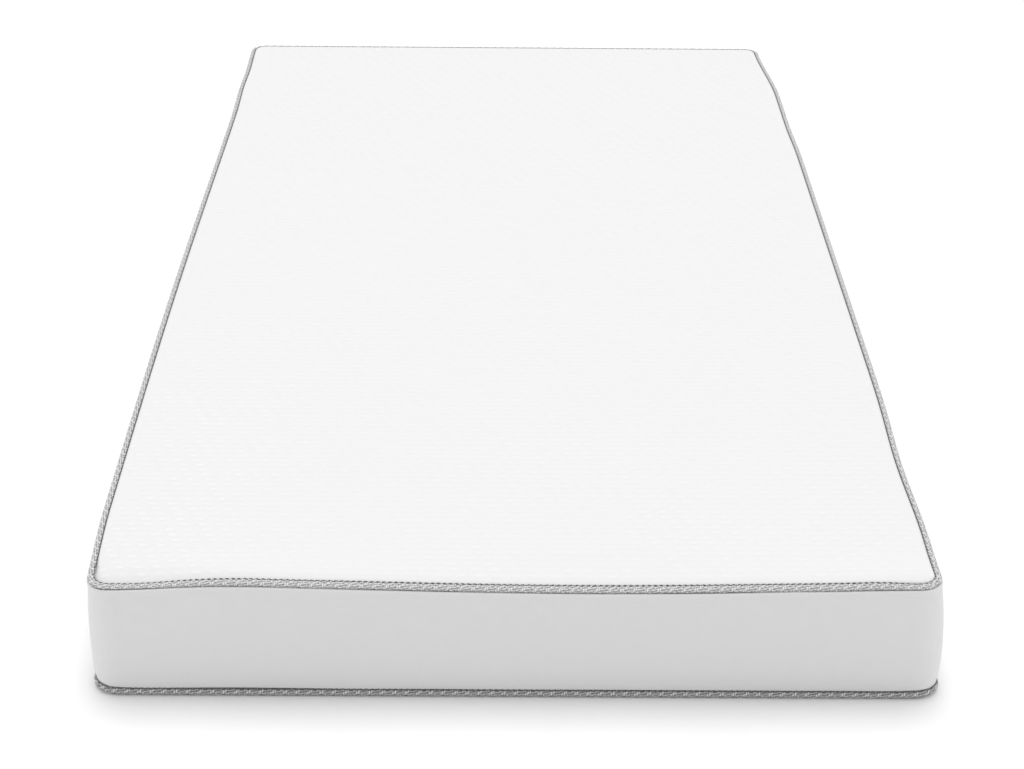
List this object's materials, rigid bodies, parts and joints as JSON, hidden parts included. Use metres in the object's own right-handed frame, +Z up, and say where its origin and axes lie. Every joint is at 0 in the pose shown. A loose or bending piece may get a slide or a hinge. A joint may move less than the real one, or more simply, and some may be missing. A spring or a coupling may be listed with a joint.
{
  "type": "memory foam mattress",
  "caption": "Low rectangular foam mattress in a white knit cover with grey rope piping along its top and bottom edges and a zip across the head end.",
  "frame": {"origin": "middle of the underside, at floor level", "axes": "+Z up, +Y along the length towards the head end that has the zip, +X across the width"},
  "size_m": [0.9898, 1.9078, 0.152],
  "materials": {
    "raised_knit": "white stretch knit with rows of short raised dashes",
    "border_knit": "white plain stretch knit",
    "grey_rope": "braided two-tone grey yarn",
    "sewn_tape": "flat woven tape",
    "underside_cloth": "plain cloth with small grip dots",
    "barrier_knit": "thin loose knit",
    "memory_foam": "dense open-cell foam",
    "base_foam": "open-cell foam",
    "zip_nylon": "nylon coil",
    "zip_metal": "light grey enamel",
    "label_cloth": "non-woven label cloth, blank"
  },
  "bodies": {
    "mattress": {"top_panel": "raised_knit", "border_front_and_sides": "border_knit", "border_rear_upper": "border_knit", "border_rear_lower": "border_knit", "bottom_panel": "underside_cloth", "top_piping_cord": "grey_rope", "top_piping_tape": "sewn_tape", "bottom_piping_cord": "grey_rope", "bottom_piping_tape": "sewn_tape", "fire_barrier_sock": "barrier_knit", "memory_foam_layer": "memory_foam", "base_foam_layer": "base_foam", "zip_tape_upper": "sewn_tape", "zip_tape_lower": "sewn_tape", "zip_teeth_upper": "zip_nylon", "zip_teeth_lower": "zip_nylon", "zip_bottom_stop": "zip_nylon", "zip_top_stops": "zip_nylon", "zip_end_tabs": "border_knit", "law_label": "label_cloth", "care_label": "label_cloth"},
    "zip_slider": {"zip_slider_body": "zip_metal"},
    "zip_pull": {"zip_pull_tab": "zip_metal"}
  },
  "joints": [
    {"name": "zip_travel", "type": "slide", "parent": "mattress", "child": "zip_slider", "axis": [1, 0, 0], "range_m": [-0.873, 0]},
    {"name": "pull_swing", "type": "hinge", "parent": "zip_slider", "child": "zip_pull", "pos_m": [0.4365, 0.95425, 0.03], "axis": [0, 0, 1], "range_deg": [-180, 0]}
  ]
}
